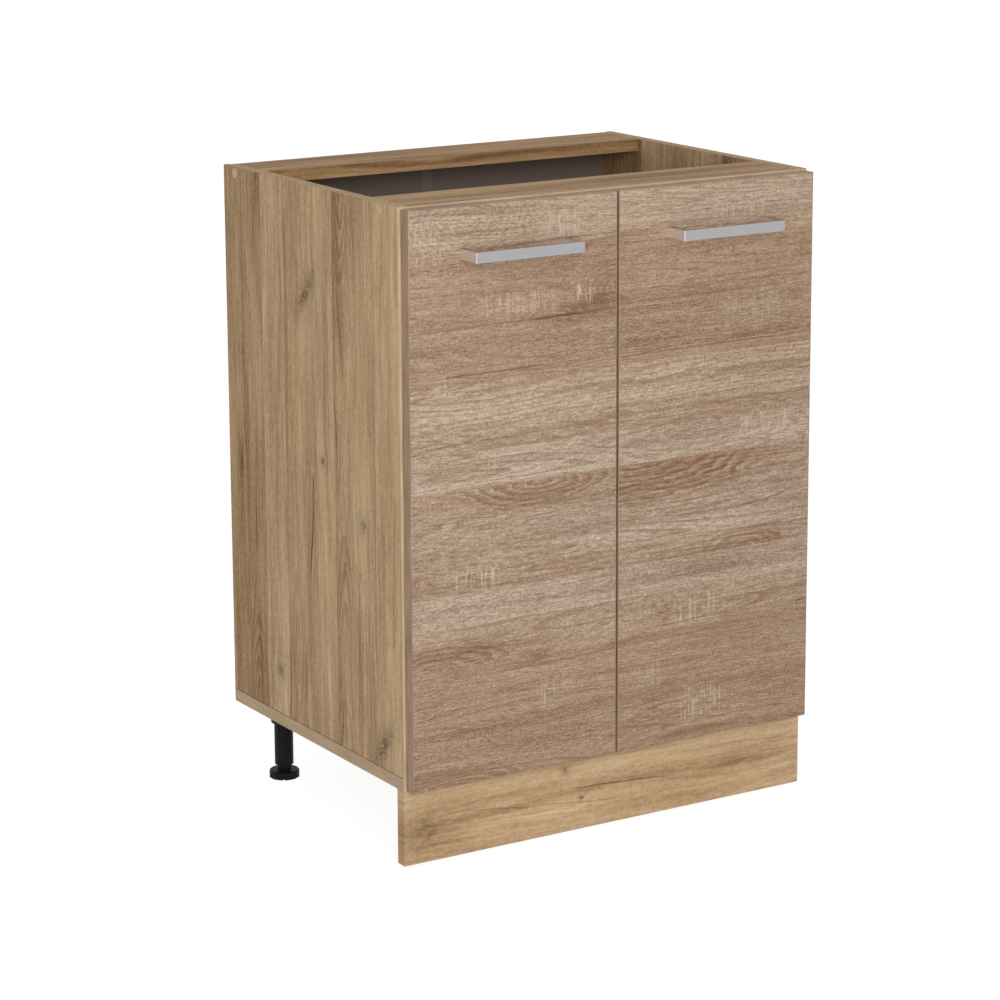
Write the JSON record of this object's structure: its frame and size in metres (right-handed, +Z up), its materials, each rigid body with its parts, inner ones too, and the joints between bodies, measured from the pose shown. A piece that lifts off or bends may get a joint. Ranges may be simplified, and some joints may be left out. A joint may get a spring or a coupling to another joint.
{
  "type": "kitchen base cabinet",
  "caption": "Floor-standing kitchen base cabinet with two hinged doors on concealed cup hinges, one shelf, bow handles, a plinth and adjustable legs.",
  "frame": {"origin": "on the floor, under the middle of the cabinet's whole footprint, handles included", "axes": "+X to the right seen from the front, +Y from the doors towards the wall, +Z up"},
  "size_m": [0.602, 0.502, 0.82],
  "materials": {
    "carcass_board": "satin melamine, golden oak print",
    "carcass_band": "satin edge band, light oak",
    "back_board": "matt light grey fibreboard",
    "profile_plastic": "matt",
    "door_board": "satin melamine, greyish oak print",
    "door_band": "satin edge band, greyish brown",
    "handle_metal": "satin",
    "leg_plastic": "matt black",
    "clip_plastic": "matt black",
    "cap_plastic": "satin brown",
    "dowel_wood": "raw beech",
    "screw_steel": "zinc plated",
    "hinge_steel": "nickel plated",
    "pin_steel": "ground"
  },
  "bodies": {
    "carcass": {"side_left": "carcass_board", "side_right": "carcass_board", "bottom_panel": "carcass_board", "top_rail_front": "carcass_board", "top_rail_rear": "carcass_board", "shelf": "carcass_board", "plinth_board": "carcass_board", "carcass_edge_bands": "carcass_band", "back_panel_left": "back_board", "back_panel_right": "back_board", "back_joint_profile": "profile_plastic", "leg_socket_front_left": "leg_plastic", "leg_tube_front_left": "leg_plastic", "leg_socket_front_right": "leg_plastic", "leg_tube_front_right": "leg_plastic", "leg_socket_rear_left": "leg_plastic", "leg_tube_rear_left": "leg_plastic", "leg_socket_rear_right": "leg_plastic", "leg_tube_rear_right": "leg_plastic", "plinth_clips": "clip_plastic", "screw_cover_caps": "cap_plastic", "dowels": "dowel_wood", "confirmat_screws": "screw_steel", "base_screws": "screw_steel", "back_nails": "screw_steel", "hinge_plate_screws": "screw_steel", "shelf_pins": "screw_steel", "hinge_plate_lower_left": "hinge_steel", "hinge_plate_lower_right": "hinge_steel", "hinge_plate_upper_left": "hinge_steel", "hinge_plate_upper_right": "hinge_steel", "hinge_arm_lower_left": "hinge_steel", "hinge_arm_lower_right": "hinge_steel", "hinge_arm_upper_left": "hinge_steel", "hinge_arm_upper_right": "hinge_steel", "hinge_arm_pins": "pin_steel"},
    "outer_links_left": {"hinge_outer_links_left": "hinge_steel"},
    "door_body_left": {"door_left": "door_board", "door_edge_bands_left": "door_band", "handle_left": "handle_metal", "handle_screws_left": "screw_steel", "hinge_cup_screws_left": "screw_steel", "hinge_cup_pins_left": "pin_steel", "hinge_cup_lower_left": "hinge_steel", "hinge_cup_upper_left": "hinge_steel"},
    "inner_links_left": {"hinge_inner_links_left": "hinge_steel"},
    "outer_links_right": {"hinge_outer_links_right": "hinge_steel"},
    "door_body_right": {"door_right": "door_board", "door_edge_bands_right": "door_band", "handle_right": "handle_metal", "handle_screws_right": "screw_steel", "hinge_cup_screws_right": "screw_steel", "hinge_cup_pins_right": "pin_steel", "hinge_cup_lower_right": "hinge_steel", "hinge_cup_upper_right": "hinge_steel"},
    "inner_links_right": {"hinge_inner_links_right": "hinge_steel"},
    "foot_front_left": {"leg_foot_front_left": "leg_plastic"},
    "foot_front_right": {"leg_foot_front_right": "leg_plastic"},
    "foot_rear_left": {"leg_foot_rear_left": "leg_plastic"},
    "foot_rear_right": {"leg_foot_rear_right": "leg_plastic"}
  },
  "joints": [
    {"name": "outer_links_left_turn", "type": "hinge", "parent": "carcass", "child": "outer_links_left", "pos_m": [-0.27034, -0.18463, 0.4597], "axis": [0, 0, -1], "range_deg": [-19.2, 0]},
    {"name": "door_left_swing", "type": "hinge", "parent": "outer_links_left", "child": "door_body_left", "pos_m": [-0.2894, -0.19944, 0.4597], "axis": [0, 0, -1], "range_deg": [0, 114.1]},
    {"name": "inner_links_left_turn", "type": "hinge", "parent": "door_body_left", "child": "inner_links_left", "pos_m": [-0.28893, -0.2049, 0.4597], "axis": [0, 0, -1], "range_deg": [-95.2, 0]},
    {"name": "outer_links_right_turn", "type": "hinge", "parent": "carcass", "child": "outer_links_right", "pos_m": [0.27034, -0.18463, 0.4597], "axis": [0, 0, 1], "range_deg": [-19.2, 0]},
    {"name": "door_right_swing", "type": "hinge", "parent": "outer_links_right", "child": "door_body_right", "pos_m": [0.2894, -0.19944, 0.4597], "axis": [0, 0, 1], "range_deg": [0, 114.1]},
    {"name": "inner_links_right_turn", "type": "hinge", "parent": "door_body_right", "child": "inner_links_right", "pos_m": [0.28893, -0.2049, 0.4597], "axis": [0, 0, 1], "range_deg": [-95.2, 0]},
    {"name": "foot_front_left_height", "type": "slide", "parent": "carcass", "child": "foot_front_left", "axis": [0, 0, 1], "range_m": [-0.015, 0.007]},
    {"name": "foot_front_right_height", "type": "slide", "parent": "carcass", "child": "foot_front_right", "axis": [0, 0, 1], "range_m": [-0.015, 0.007]},
    {"name": "foot_rear_left_height", "type": "slide", "parent": "carcass", "child": "foot_rear_left", "axis": [0, 0, 1], "range_m": [-0.015, 0.007]},
    {"name": "foot_rear_right_height", "type": "slide", "parent": "carcass", "child": "foot_rear_right", "axis": [0, 0, 1], "range_m": [-0.015, 0.007]}
  ],
  "couplings": [
    {"joint": "outer_links_left_turn", "follows": "door_left_swing", "ratio": -0.16745},
    {"joint": "inner_links_left_turn", "follows": "door_left_swing", "ratio": -0.83155},
    {"joint": "outer_links_right_turn", "follows": "door_right_swing", "ratio": -0.16745},
    {"joint": "inner_links_right_turn", "follows": "door_right_swing", "ratio": -0.83155}
  ]
}
